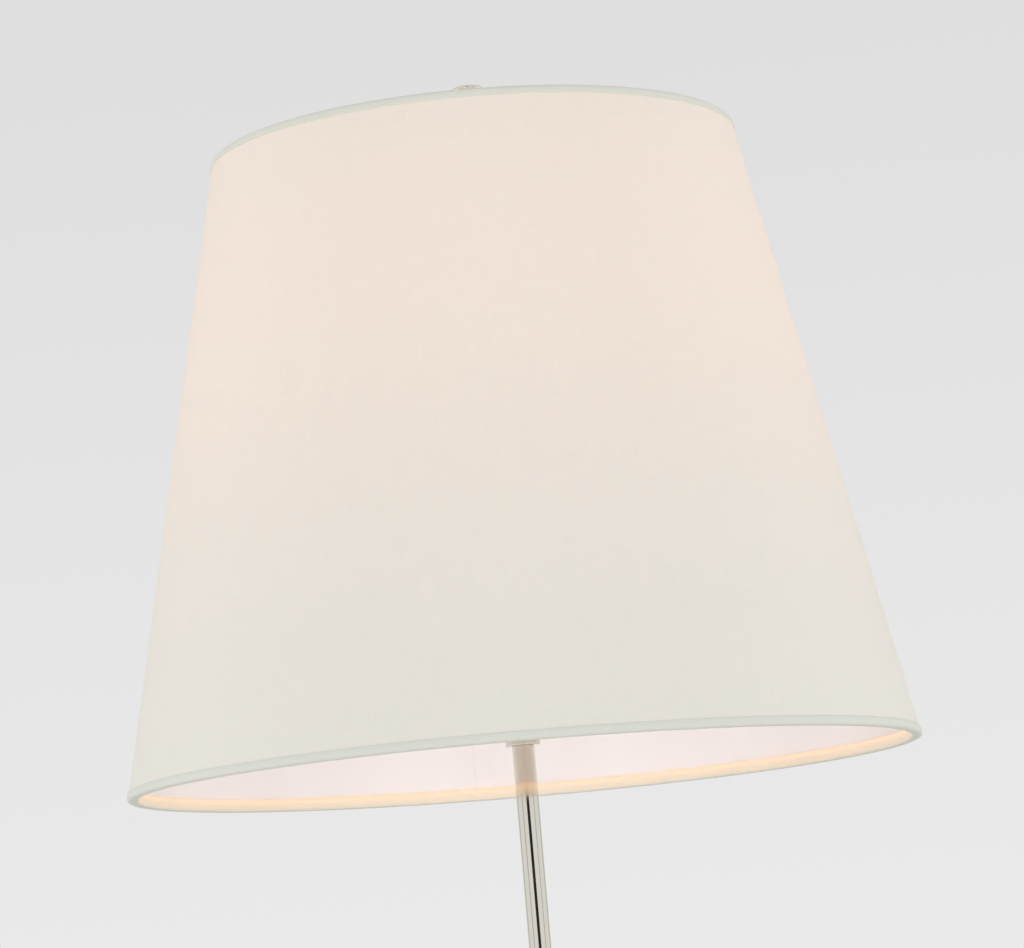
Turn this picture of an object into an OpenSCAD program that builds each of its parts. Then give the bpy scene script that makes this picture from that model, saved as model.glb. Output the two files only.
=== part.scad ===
// Telescoping floor lamp with a tapered linen shade carried on a harp.
// Millimetres, +Z up, origin on the floor at the centre of the base.

/* [Base] */
// Diameter of the spun cover
base_d = 280; // [230:1:340]
// Thickness of the cast-iron weight
weight_t = 12.5; // [11:0.5:20]
// Thickness of the felt pad
felt_t = 2; // [1:0.5:4]
// Thickness of the cover's metal
cover_t = 1.5; // [1:0.1:2]
// Outside radius of the cover's rolled edge
cover_round = 4.5; // [3:0.5:8]
// Diameter of the collar that the pole stands in
base_collar_d = 38; // [30:1:60]
// Height of that collar above the cover
base_collar_h = 10; // [8:1:20]
// Diameter of the threaded nipple that holds the base together
base_nipple_d = 9.6; // [8:0.1:11]
// Bore of the cord bushing
inlet_bore_d = 6.4; // [5:0.1:6.8]
// Length of the cord bushing's barrel
inlet_len = 10; // [6:1:16]

/* [Pole] */
// Length of the outer tube
tube_len = 882; // [700:1:1100]
// Outside diameter of the outer tube
tube_d = 16; // [15:0.1:20]
// Wall of the outer tube
tube_wall = 1.2; // [0.8:0.1:1.4]
// Length of the sliding rod
rod_len = 720; // [600:1:900]
// Outside diameter of the sliding rod
rod_d = 12.7; // [11:0.1:12.9]
// Wall of the sliding rod
rod_wall = 1.2; // [0.8:0.1:1.3]
// Length of rod that shows above the clamp at rest
rod_show = 300; // [260:1:400]
// Length of the guide bush in the tube's mouth
guide_len = 20; // [12:1:30]

/* [Clamp] */
// Diameter of the clamp collar
clamp_d = 22; // [20:1:32]
// How far the clamp collar reaches down over the tube
clamp_grip = 18; // [12:1:30]
// How far the clamp collar stands above the tube
clamp_head = 16; // [15:1:24]
// Diameter of the thumbscrew's shank
screw_d = 5; // [4:0.1:6]
// Diameter of the thumbscrew's knob
knob_d = 16; // [12:1:24]
// Thickness of the thumbscrew's knob
knob_t = 8; // [6:1:12]

/* [Neck] */
// Diameter of the check ring on top of the rod
check_ring_d = 20; // [18:0.5:26]
// Thickness of the check ring
check_ring_t = 4; // [3:0.5:6]
// Height of the neck between the check ring and the harp saddle
neck_h = 101; // [60:1:125]
// Diameter of the neck's barrel
neck_d = 12.7; // [11:0.1:16]
// Diameter of the threaded nipple through the neck
neck_nipple_d = 7.9; // [7:0.1:8]

/* [Harp] */
// Height of the harp from its saddle to the shade's seat
harp_h = 229; // [210:1:305]
// Widest part of the harp, centre to centre
harp_w = 118; // [98:1:142]
// Distance between the harp's feet, centre to centre
foot_span = 60; // [54:1:70]
// Diameter of the harp's wire
harp_wire_d = 3.6; // [3:0.1:4]
// Width of the saddle's strip
saddle_w = 12; // [10:1:14]
// Thickness of the saddle's strip
saddle_t = 2; // [1.5:0.1:3]
// Length of each ferrule
ferrule_len = 16; // [12:1:18]
// How far each ferrule lifts
ferrule_lift = 12; // [8:1:14]

/* [Lampholder] */
// Outside diameter of the lampholder's shell
shell_d = 36; // [34:0.5:40]
// Height of the lampholder's shell
shell_h = 46; // [42:1:52]
// Diameter of the turn key's paddle
key_d = 14; // [10:1:16]

/* [Bulb] */
// Diameter of the bulb's globe
bulb_d = 60; // [50:1:72]
// Drop from the globe's centre to the bulb's metal cap
bulb_neck = 54; // [48:1:66]
// Thickness of the bulb's glass
glass_t = 1; // [0.8:0.1:1.5]

/* [Shade] */
// Diameter of the lower ring, centre to centre of the wire
lower_ring_d = 437.5; // [360:0.5:540]
// Diameter of the upper ring, centre to centre of the wire
upper_ring_d = 293; // [240:1:360]
// Height between the two rings
shade_h = 350; // [290:1:425]
// Diameter of the ring wire
ring_wire_d = 3.2; // [2.4:0.1:4]
// Thickness of the stiff liner
liner_t = 0.7; // [0.5:0.1:1]
// Thickness of the linen
linen_t = 0.7; // [0.5:0.1:1]
// Thickness of the hem tape where it laps the linen
hem_t = 1; // [0.6:0.1:1.4]
// Height of each rolled hem
hem_h = 5.6; // [4.6:0.1:8]
// How far the upper ring stands above the shade's seat
spider_rise = 4; // [2:0.5:12]
// Diameter of the three spider wires
spider_wire_d = 3; // [2.4:0.1:4]

/* [Finial] */
// Height of the finial
finial_h = 41.6; // [34:0.1:50]
// Diameter of the finial's flared top
finial_d = 17.2; // [14:0.2:22]

/* [Fits] */
// Radial clearance of parts that turn or slide
running = 0.07; // [0.03:0.01:0.09]
// Radial clearance of parts that are screwed or pushed together
seated = 0.05; // [0.03:0.01:0.08]

/* [Hidden] */
$fn = 96;
// A cut runs this far past a face, so that no skin is left on it
past = 1;

// Base
weight_z = felt_t;
cover_in_z = weight_z + weight_t;
cover_top = cover_in_z + cover_t;
weight_gap = 1;
weight_r = base_d / 2 - cover_t - weight_gap;
weight_chamfer = cover_round;
felt_margin = 3;
felt_r = weight_r - felt_margin;
rim_gap = 0.6;
nipple_seat = base_nipple_d / 2 + seated;
nipple_bore_r = 3;
recess_r = 20;
recess_h = 9;
washer_r = 16;
washer_t = 1.5;
nut_flats = 17;
nut_h = 5.5;
nipple_tail = 1;
barrel_r = inlet_bore_d / 2 + 1;
inlet_flange_r = barrel_r + 1.3;
inlet_flange_t = 1.5;
inlet_z = weight_z + barrel_r + 0.4;
channel_w = 2 * barrel_r + 1.6;

// Pole
pole_seat = 2;
tube_z = cover_top + pole_seat;
tube_top = tube_z + tube_len;
tube_in_r = tube_d / 2 - tube_wall;
plug_h = 16;
clamp_top = tube_top + clamp_head;
screw_z = tube_top + clamp_head / 2;
rod_top = clamp_top + rod_show;
rod_z = rod_top - rod_len;
rod_in_r = rod_d / 2 - rod_wall;
guide_r = rod_d / 2 + running;

// Clamp: everything lies along +X at screw_z
shoe_x = rod_d / 2 + 0.1;
shoe_len = 2;
screw_x = shoe_x + shoe_len + 0.05;
boss_r = screw_d / 2 + 2.5;
boss_x = clamp_d / 2 + 3;
neck_x = boss_x + 0.8;
knob_x = neck_x + 1.7;
flutes = 24;
flute_r = 0.8;

// Neck and harp
ring_top = rod_top + check_ring_t;
saddle_z = ring_top + neck_h;
saddle_top = saddle_z + saddle_t;
neck_nipple_r = neck_nipple_d / 2;
neck_seat = neck_nipple_r + seated;
insert_h = 18;
wire_r = harp_wire_d / 2;
foot_x = foot_span / 2;
half_w = harp_w / 2;
prong_h = 14;
seat_z = saddle_top + harp_h;
lock_nut_h = 3;
boss_h = 8.6;
shoulder_t = 2;
stud_gap = 0.2;
pin_r = 2;
boss_top = seat_z - shoulder_t - stud_gap;
boss_z = boss_top - boss_h;

// Lampholder, counted up from the lock nut
holder_z = saddle_top + lock_nut_h;
shell_r = shell_d / 2;
shell_wall = 0.6;
shell_z = holder_z + 13;
shell_top = shell_z + shell_h;
cap_wall = 0.8;
cap_neck_r = 8;
cap_h = 19;
sleeve_r = shell_r - shell_wall - seated;
sleeve_t = 0.8;
body_r = sleeve_r - sleeve_t - seated;
body_z = shell_z + 1;
body_h = 22;
body_top = body_z + body_h;
thread_r = 13.4;
thread_wall = 0.5;
key_z = body_z + body_h / 2;
key_shaft_r = 2;

// Bulb, counted up from the centre contact
contact_r = 4.5;
contact_z = body_top + 2;
cap_z = contact_z + 5;
bulb_cap_r = 13;
bulb_cap_h = 19;
glass_z = cap_z + bulb_cap_h;
globe_z = glass_z + bulb_neck;

// Shade
ring_r = ring_wire_d / 2;
upper_z = seat_z + spider_rise;
lower_z = upper_z - shade_h;
lower_r = lower_ring_d / 2;
upper_r = upper_ring_d / 2;
liner_in = ring_r + 0.1;
linen_in = liner_in + liner_t;
linen_out = linen_in + linen_t;
wall_overrun = 1.2;
roll_r = ring_r + seated;
hub_r = 11;
hub_t = 2;
stud_r = 3.1;

// Turns a flat profile of radius and height, given as points, into a ring or a turned part.
module turned(points) rotate_extrude() polygon(points);

// A round tube between two heights.
module sleeve(r, bore_r, z, h) difference() {
    translate([0, 0, z]) cylinder(h = h, r = r);
    translate([0, 0, z - past]) cylinder(h = h + 2 * past, r = bore_r);
}

// A straight round bar between two points that differ in angle about Z, radius and height.
module bar(r0, z0, r1, z1, r, about_z) {
    rise = z1 - z0;
    run = r1 - r0;
    rotate([0, 0, about_z]) translate([r0, 0, z0]) rotate([0, atan2(run, rise), 0])
        cylinder(h = sqrt(rise * rise + run * run), r = r);
}

// An arc of wire in the XZ plane, from angle a0 to a1 about its centre.
module wire_arc(x, z, bend_r, a0, a1)
    translate([x, 0, z]) rotate([90, 0, 0]) rotate([0, 0, a0])
        rotate_extrude(angle = a1 - a0) translate([bend_r, 0]) circle(r = wire_r, $fn = 48);

// A hair-thick bead at each place where two stretches of wire meet, so that they join as one.
module wire_welds(places) for (place = places) translate([place[0], 0, place[1]])
    sphere(r = wire_r + 0.03, $fn = 48);

// ---- Base ----

module felt_pad() color("dimgray") cylinder(h = felt_t, r = felt_r);

module base_weight() color([0.22, 0.22, 0.23]) difference() {
    turned([
        [0, weight_z], [weight_r, weight_z], [weight_r, cover_in_z - weight_chamfer],
        [weight_r - weight_chamfer, cover_in_z], [0, cover_in_z]
    ]);
    translate([0, 0, weight_z - past]) cylinder(h = recess_h + past, r = recess_r);
    translate([0, 0, weight_z]) cylinder(h = weight_t + past, r = nipple_seat);
    translate([-channel_w / 2, 0, weight_z - past])
        cube([channel_w, weight_r + past, 2 * barrel_r + 0.8 + past]);
}

// The cover's edge is a quarter round between its flat top and its straight side.
function quarter(r, x, z, steps) = [for (i = [0:steps]) [x + r * cos(90 * i / steps), z + r * sin(90 * i / steps)]];
function backwards(points) = [for (i = [len(points) - 1:-1:0]) points[i]];

module base_cover() color([0.78, 0.77, 0.74]) difference() {
    turned(concat(
        [[base_d / 2 - cover_t, rim_gap], [base_d / 2, rim_gap]],
        quarter(cover_round, base_d / 2 - cover_round, cover_top - cover_round, 8),
        [[nipple_seat, cover_top], [nipple_seat, cover_in_z]],
        backwards(quarter(cover_round - cover_t, base_d / 2 - cover_round, cover_top - cover_round, 8))
    ));
    translate([0, base_d / 2 + past, inlet_z]) rotate([90, 0, 0])
        cylinder(h = cover_t + 2 * past, r = barrel_r + seated);
}

module base_collar() color([0.78, 0.77, 0.74]) difference() {
    cove = base_collar_h - 4;
    top_r = tube_d / 2 + 3;
    foot_r = base_collar_d / 2;
    turned(concat(
        [[0, cover_top], [foot_r, cover_top], [foot_r, cover_top + 3]],
        [for (i = [0:8]) [
            foot_r - 1 - (foot_r - 1 - top_r) * sin(90 * i / 8),
            cover_top + 3 + cove * (1 - cos(90 * i / 8))
        ]],
        [[top_r, cover_top + base_collar_h], [0, cover_top + base_collar_h]]
    ));
    translate([0, 0, tube_z]) cylinder(h = base_collar_h, r = tube_d / 2 + seated);
    translate([0, 0, cover_top - past]) cylinder(h = pole_seat + 2 * past, r = nipple_seat);
}

module base_nipple() color("gold")
    sleeve(base_nipple_d / 2, nipple_bore_r, weight_z + nipple_tail, tube_z + plug_h - weight_z - 2 * nipple_tail);

module base_washer() color("silver")
    sleeve(washer_r, nipple_seat, weight_z + recess_h - washer_t, washer_t);

module base_nut() color("silver") difference() {
    nut_z = weight_z + recess_h - washer_t - nut_h;
    translate([0, 0, nut_z]) cylinder(h = nut_h, r = nut_flats / 2 / cos(30), $fn = 6);
    translate([0, 0, nut_z - past]) cylinder(h = nut_h + 2 * past, r = nipple_seat);
}

module cord_bushing() color([0.12, 0.12, 0.12])
    translate([0, base_d / 2 - inlet_len, inlet_z]) rotate([-90, 0, 0]) difference() {
        union() {
            cylinder(h = inlet_len, r = barrel_r);
            translate([0, 0, inlet_len]) cylinder(h = inlet_flange_t, r = inlet_flange_r);
        }
        translate([0, 0, -past]) cylinder(h = inlet_len + inlet_flange_t + 2 * past, r = inlet_bore_d / 2);
    }

// ---- Pole and clamp ----

module outer_tube() color([0.8, 0.79, 0.76]) sleeve(tube_d / 2, tube_in_r, tube_z, tube_len);

module pole_foot_plug() color("gold") sleeve(tube_in_r - seated, nipple_seat, tube_z, plug_h);

module guide_bush() color("ivory") sleeve(tube_in_r - seated, guide_r, tube_top - guide_len, guide_len);

module clamp_collar() color([0.8, 0.79, 0.76]) difference() {
    edge = 1;
    clamp_r = clamp_d / 2;
    bottom = tube_top - clamp_grip;
    union() {
        turned([
            [0, bottom], [clamp_r - edge, bottom], [clamp_r, bottom + edge], [clamp_r, clamp_top - edge],
            [clamp_r - edge, clamp_top], [0, clamp_top]
        ]);
        translate([0, 0, screw_z]) rotate([0, 90, 0]) cylinder(h = boss_x, r = boss_r);
    }
    translate([0, 0, bottom - past]) cylinder(h = clamp_grip + past, r = tube_d / 2 + seated);
    translate([0, 0, tube_top - past]) cylinder(h = clamp_head + 2 * past, r = guide_r);
    translate([0, 0, screw_z]) rotate([0, 90, 0]) cylinder(h = boss_x + past, r = screw_d / 2 + running);
}

module friction_shoe() color("gold")
    translate([shoe_x, 0, screw_z]) rotate([0, 90, 0]) cylinder(h = shoe_len, r = screw_d / 2);

module thumbscrew() color([0.75, 0.74, 0.72]) union() {
    translate([screw_x, 0, screw_z]) rotate([0, 90, 0]) cylinder(h = knob_x - screw_x, r = screw_d / 2);
    translate([neck_x, 0, screw_z]) rotate([0, 90, 0]) cylinder(h = knob_x - neck_x, r = screw_d / 2 + 1.6);
}

module thumbscrew_knob() color([0.8, 0.79, 0.76])
    translate([knob_x, 0, screw_z]) rotate([0, 90, 0]) difference() {
        knob_r = knob_d / 2;
        edge = 1;
        turned([
            [0, 0], [knob_r - edge, 0], [knob_r, edge], [knob_r, knob_t - edge], [knob_r - edge, knob_t],
            [0, knob_t]
        ]);
        for (i = [0:flutes - 1]) rotate([0, 0, 360 * i / flutes]) translate([knob_r + flute_r / 2, 0, -past])
            cylinder(h = knob_t + 2 * past, r = flute_r, $fn = 24);
    }

// ---- Sliding rod and neck ----

module rod_foot_bush() color("ivory") {
    foot_h = 12;
    spigot_h = 16;
    difference() {
        union() {
            translate([0, 0, rod_z - foot_h]) cylinder(h = foot_h, r = tube_in_r - running);
            translate([0, 0, rod_z]) cylinder(h = spigot_h, r = rod_in_r - running);
        }
        translate([0, 0, rod_z - foot_h - past]) cylinder(h = foot_h + spigot_h + 2 * past, r = nipple_bore_r);
    }
}

module inner_rod() color([0.8, 0.79, 0.76]) sleeve(rod_d / 2, rod_in_r, rod_z, rod_len);

module rod_top_insert() color("gold") sleeve(rod_in_r - seated, neck_seat, rod_top - insert_h, insert_h);

module check_ring() color([0.8, 0.79, 0.76]) difference() {
    edge = 0.6;
    disc_r = check_ring_d / 2;
    turned([
        [0, rod_top], [disc_r - edge, rod_top], [disc_r, rod_top + edge], [disc_r, ring_top - edge],
        [disc_r - edge, ring_top], [0, ring_top]
    ]);
    translate([0, 0, rod_top - past]) cylinder(h = check_ring_t + 2 * past, r = neck_seat);
}

module neck() color([0.8, 0.79, 0.76]) difference() {
    barrel = neck_d / 2;
    flange_h = 3;
    flange_r = barrel + 2.2;
    bead_r = barrel + 1;
    union() {
        translate([0, 0, ring_top]) cylinder(h = neck_h, r = barrel);
        translate([0, 0, ring_top]) cylinder(h = flange_h, r = flange_r);
        translate([0, 0, saddle_z - flange_h]) cylinder(h = flange_h, r = flange_r);
        for (z = [ring_top + 14, saddle_z - 16]) turned([
            [0, z], [barrel, z], [bead_r, z + 0.8], [bead_r, z + 1.6], [barrel, z + 2.4], [0, z + 2.4]
        ]);
    }
    translate([0, 0, ring_top - past]) cylinder(h = neck_h + 2 * past, r = neck_seat);
}

module neck_nipple() color("gold")
    sleeve(neck_nipple_r, neck_nipple_r - 1.5, rod_top - insert_h + 1, holder_z + 5 - rod_top + insert_h - 1);

// ---- Harp ----

module harp_saddle() color("gold") difference() {
    union() {
        translate([-foot_x, -saddle_w / 2, saddle_z]) cube([foot_span, saddle_w, saddle_t]);
        for (side = [-1, 1]) {
            translate([side * foot_x, 0, saddle_z]) cylinder(h = saddle_t, r = saddle_w / 2);
            translate([side * foot_x, 0, saddle_z]) cylinder(h = saddle_t + prong_h, r = wire_r);
        }
    }
    translate([0, 0, saddle_z - past]) cylinder(h = saddle_t + 2 * past, r = neck_seat);
}

module lock_nut() color("gold") difference() {
    translate([0, 0, saddle_top]) cylinder(h = lock_nut_h, r = 7.5, $fn = 6);
    translate([0, 0, saddle_top - past]) cylinder(h = lock_nut_h + 2 * past, r = neck_seat);
}

// Half of the bow: a straight foot, an S out to the full width, a straight side and a two-radius crown.
module half_bow() {
    foot_z = saddle_top + prong_h;
    foot_h = ferrule_len + ferrule_lift + 4 - prong_h;
    s_turn = 45;
    s_sum = (half_w - foot_x) / (1 - cos(s_turn));
    s_out = 25;
    s_back = s_sum - s_out;
    s_mid_x = foot_x + s_out * (1 - cos(s_turn));
    s_mid_z = foot_z + foot_h + s_out * sin(s_turn);
    side_z = foot_z + foot_h + s_sum * sin(s_turn);
    crown_turn = 35;
    crown_side = 95;
    crown_top = (half_w - crown_side * (1 - cos(crown_turn))) / cos(crown_turn);
    wire_z = boss_z + boss_h / 2;
    crown_z = wire_z - crown_side * sin(crown_turn) - crown_top * (1 - sin(crown_turn));
    wire_welds([
        [foot_x, foot_z + foot_h], [s_mid_x, s_mid_z], [half_w, side_z], [half_w, crown_z],
        [half_w - crown_side * (1 - cos(crown_turn)), crown_z + crown_side * sin(crown_turn)]
    ]);
    translate([foot_x, 0, foot_z]) cylinder(h = foot_h, r = wire_r, $fn = 48);
    wire_arc(foot_x + s_out, foot_z + foot_h, s_out, 180 - s_turn, 180);
    wire_arc(s_mid_x - s_back * cos(s_turn), s_mid_z + s_back * sin(s_turn), s_back, -s_turn, 0);
    translate([half_w, 0, side_z]) cylinder(h = crown_z - side_z, r = wire_r, $fn = 48);
    wire_arc(half_w - crown_side, crown_z, crown_side, 0, crown_turn);
    wire_arc(0, wire_z - crown_top, crown_top, crown_turn, 90);
}

module harp_bow() color("gold") difference() {
    union() {
        half_bow();
        mirror([1, 0, 0]) half_bow();
        translate([0, 0, boss_z]) cylinder(h = boss_h, r = 5);
    }
    translate([0, 0, boss_z - past]) cylinder(h = boss_h + 2 * past, r = pin_r + running);
}

module ferrule(side) color("gold") translate([side * foot_x, 0, 0])
    sleeve(wire_r + 1.6, wire_r + running, saddle_top + 0.3, ferrule_len);

module ferrule_left() ferrule(-1);

module ferrule_right() ferrule(1);

// ---- Lampholder ----

module socket_cap() color("gold") difference() {
    skirt_in = shell_r + seated;
    skirt_out = skirt_in + cap_wall;
    bell_z = shell_z - 1;
    turned([
        [neck_seat, holder_z], [cap_neck_r, holder_z], [cap_neck_r, holder_z + 5], [skirt_out, bell_z],
        [skirt_out, holder_z + cap_h], [skirt_in, holder_z + cap_h], [skirt_in, bell_z + 0.6],
        [cap_neck_r - 0.5, holder_z + 6], [neck_seat, holder_z + 6]
    ]);
    translate([0, 0, holder_z + 2.5]) rotate([0, 90, 0]) cylinder(h = cap_neck_r + past, r = 1.5 + seated);
}

module cap_set_screw() color("silver")
    translate([neck_nipple_r + seated, 0, holder_z + 2.5]) rotate([0, 90, 0]) cylinder(h = 4.6, r = 1.5);

// A hole on the front side, through which the key's shaft leaves.
module key_hole(r) translate([0, 0, key_z]) rotate([90, 0, 0]) cylinder(h = shell_r + 3, r = r);

module socket_shell() color([0.82, 0.68, 0.35]) difference() {
    lip = 1;
    turned([
        [shell_r - shell_wall, shell_z], [shell_r, shell_z], [shell_r, shell_top],
        [shell_r - shell_wall - lip, shell_top], [shell_r - shell_wall - lip, shell_top - shell_wall],
        [shell_r - shell_wall, shell_top - shell_wall]
    ]);
    key_hole(4.2);
}

module insulating_sleeve() color("tan") difference() {
    sleeve(sleeve_r, sleeve_r - sleeve_t, shell_z + 1, shell_h - 2.2);
    key_hole(4.2);
}

module socket_body() color([0.15, 0.13, 0.12]) difference() {
    union() {
        translate([0, 0, body_z]) cylinder(h = body_h, r = body_r);
        sleeve(body_r, thread_r + thread_wall + seated, body_top - past, 10 + past);
    }
    translate([0, 4, key_z]) rotate([90, 0, 0]) cylinder(h = shell_r + 4, r = key_shaft_r + running);
    for (side = [-1, 1]) translate([side * 9, 6, body_z - past]) cylinder(h = 7 + past, r = 1.4 + seated, $fn = 32);
}

module screw_shell() color([0.82, 0.68, 0.35]) difference() {
    translate([0, 0, body_top]) cylinder(h = 22, r = thread_r + thread_wall);
    translate([0, 0, body_top + 1]) cylinder(h = 22, r = thread_r);
    translate([0, 0, body_top - past]) cylinder(h = 3, r = contact_r + 1.5);
}

module centre_contact() color("gold") translate([0, 0, body_top]) cylinder(h = contact_z - body_top, r = contact_r);

module terminal_screws() color("silver") for (side = [-1, 1]) translate([side * 9, 6, 0]) {
    translate([0, 0, body_z - 1.6]) cylinder(h = 1.6, r = 2.8, $fn = 32);
    translate([0, 0, body_z]) cylinder(h = 6, r = 1.4, $fn = 32);
}

module switch_shaft() color("silver")
    translate([0, 3.5, key_z]) rotate([90, 0, 0]) cylinder(h = shell_r + 8.5, r = key_shaft_r);

module switch_key() color([0.15, 0.13, 0.12]) {
    paddle_t = 3.6;
    hub_len = 3;
    translate([0, -shell_r - 5, key_z]) rotate([90, 0, 0]) cylinder(h = hub_len, r = 3.6);
    translate([-paddle_t / 2, -shell_r - 5 - hub_len - key_d / 2 + 1, key_z]) rotate([0, 90, 0])
        cylinder(h = paddle_t, r = key_d / 2);
}

// ---- Bulb ----

// The globe runs down to the point where a straight side leaves it towards the neck.
function bulb_side(globe_r, neck_r) =
    let (leave = atan2(bulb_neck, neck_r) - acos(globe_r / sqrt(bulb_neck * bulb_neck + neck_r * neck_r)))
    concat(
        [[neck_r, glass_z]],
        [for (i = [0:20]) let (a = -leave + (90 + leave) * i / 20) [globe_r * cos(a), globe_z + globe_r * sin(a)]]
    );

module bulb_glass() color([0.97, 0.95, 0.9]) turned(concat(
    bulb_side(bulb_d / 2, bulb_cap_r),
    backwards(bulb_side(bulb_d / 2 - glass_t, bulb_cap_r - glass_t))
));

module filament_mount() color("silver") {
    translate([0, 0, glass_z]) cylinder(h = 26, r = 4);
    for (side = [-1, 1]) {
        bar(0, glass_z + 24, 14, globe_z, 0.5, side > 0 ? 0 : 180);
        translate([side * 14, 0, globe_z - 0.2]) sphere(r = 1, $fn = 32);
    }
    translate([-14, 0, globe_z]) rotate([0, 90, 0]) cylinder(h = 28, r = 0.6, $fn = 32);
}

module bulb_cap() color("silver") {
    ridges = 5;
    pitch = bulb_cap_h / (ridges + 1);
    dip = 0.6;
    turned(concat(
        [[bulb_cap_r - 1, cap_z], [bulb_cap_r - dip, cap_z]],
        [for (i = [0:ridges - 1]) each [
            [bulb_cap_r, cap_z + pitch * (i + 0.5)], [bulb_cap_r - dip, cap_z + pitch * (i + 1)]
        ]],
        [[bulb_cap_r, glass_z - 1], [bulb_cap_r, glass_z], [bulb_cap_r - 1, glass_z]]
    ));
}

module bulb_insulator() color([0.1, 0.1, 0.12]) turned([
    [0, contact_z + 1.5], [contact_r, contact_z + 1.5], [bulb_cap_r - 1.6, cap_z], [bulb_cap_r - 1.6, cap_z + 1],
    [0, cap_z + 1]
]);

module bulb_contact() color("silver") translate([0, 0, contact_z]) cylinder(h = 1.5, r = contact_r - 0.5);

// ---- Shade ----

module swivel_stud() color("gold") union() {
    translate([0, 0, boss_z - stud_gap - 1.5]) cylinder(h = 1.5, r = 3.2);
    translate([0, 0, boss_z - stud_gap]) cylinder(h = boss_h + 2 * stud_gap, r = pin_r);
    translate([0, 0, seat_z - shoulder_t]) cylinder(h = shoulder_t, r = 6.5);
    translate([0, 0, seat_z]) cylinder(h = hub_t + 9, r = stud_r);
}

// Where the three spider wires run, grown by a margin for the notches in the hem.
module spider_wires(margin) for (a = [90, 210, 330])
    bar(hub_r - 1, seat_z + hub_t / 2, upper_r - 0.2, upper_z, spider_wire_d / 2 + margin, a);

module wire_ring(r, z) translate([0, 0, z]) rotate_extrude() translate([r, 0]) circle(r = ring_r, $fn = 32);

module upper_ring_spider() color("white") difference() {
    union() {
        wire_ring(upper_r, upper_z);
        spider_wires(0);
        translate([0, 0, seat_z]) cylinder(h = hub_t, r = hub_r);
    }
    translate([0, 0, seat_z - past]) cylinder(h = hub_t + 2 * past, r = stud_r + seated);
}

module lower_ring() color("white") wire_ring(lower_r, lower_z);

// Radius of the shade's cone through the ring centres, at a height.
function cone_r(z) = lower_r + (upper_r - lower_r) * (z - lower_z) / shade_h;

// The cone between two distances outside the ring centres, from one end of the wall to the other.
module cone_wall(inside, outside) {
    z0 = lower_z - wall_overrun;
    z1 = upper_z + wall_overrun;
    turned([
        [cone_r(z0) + inside, z0], [cone_r(z0) + outside, z0], [cone_r(z1) + outside, z1], [cone_r(z1) + inside, z1]
    ]);
}

module shade_liner() color("white") cone_wall(liner_in, linen_in);

module shade_linen() color([0.92, 0.9, 0.85]) cone_wall(linen_in, linen_out);

// A hem is an oval roll around the ring and the wall's edge, with both taken out of it.
module hem(r, z) difference() {
    inner = -roll_r - 0.8;
    outer = linen_out + hem_t;
    turned([for (i = [0:35]) [
        r + (inner + outer) / 2 + (outer - inner) / 2 * cos(10 * i), z + hem_h / 2 * sin(10 * i)
    ]]);
    translate([0, 0, z]) rotate_extrude() translate([r, 0]) circle(r = roll_r, $fn = 32);
    cone_wall(liner_in - seated, linen_out + seated);
    spider_wires(seated);
}

module upper_hem() color([0.9, 0.88, 0.83]) hem(upper_r, upper_z);

module lower_hem() color([0.9, 0.88, 0.83]) hem(lower_r, lower_z);

// ---- Finial ----

// A flange, a waisted stem and a flared top with a low dome, drilled up from below for the stud.
module finial() color([0.8, 0.79, 0.76]) difference() {
    z0 = seat_z + hub_t;
    disc_r = finial_d / 2;
    disc_z = z0 + finial_h - 2.6;
    waist = 2.2;
    turned(concat(
        [[0, z0], [6, z0], [6, z0 + 2], [4.8, z0 + 3.4], [4.8, z0 + 10.6]],
        [for (i = [0:6]) [3 + 2.2 * sin(30 * i), z0 + 12 + 5 * i / 6]],
        [[waist, z0 + 20], [waist, disc_z - 8], [3, disc_z - 5.5], [disc_r - 0.4, disc_z], [disc_r, disc_z + 0.5],
            [disc_r, disc_z + 1.2], [disc_r - 0.5, disc_z + 1.7]],
        [for (i = [1:6]) [(disc_r - 0.5) * cos(15 * i), disc_z + 1.7 + 0.9 * sin(15 * i)]]
    ));
    translate([0, 0, z0 - past]) cylinder(h = 9.5 + past, r = stud_r + seated);
}

felt_pad();
base_weight();
base_cover();
base_collar();
base_nipple();
base_washer();
base_nut();
cord_bushing();
outer_tube();
pole_foot_plug();
guide_bush();
clamp_collar();
friction_shoe();
thumbscrew();
thumbscrew_knob();
rod_foot_bush();
inner_rod();
rod_top_insert();
check_ring();
neck();
neck_nipple();
harp_saddle();
lock_nut();
harp_bow();
ferrule_left();
ferrule_right();
socket_cap();
cap_set_screw();
socket_shell();
insulating_sleeve();
socket_body();
screw_shell();
centre_contact();
terminal_screws();
switch_shaft();
switch_key();
bulb_glass();
filament_mount();
bulb_cap();
bulb_insulator();
bulb_contact();
swivel_stud();
upper_ring_spider();
lower_ring();
shade_liner();
shade_linen();
upper_hem();
lower_hem();
finial();
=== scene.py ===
import math

import bmesh
import bpy
from mathutils import Matrix, Vector, noise


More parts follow.
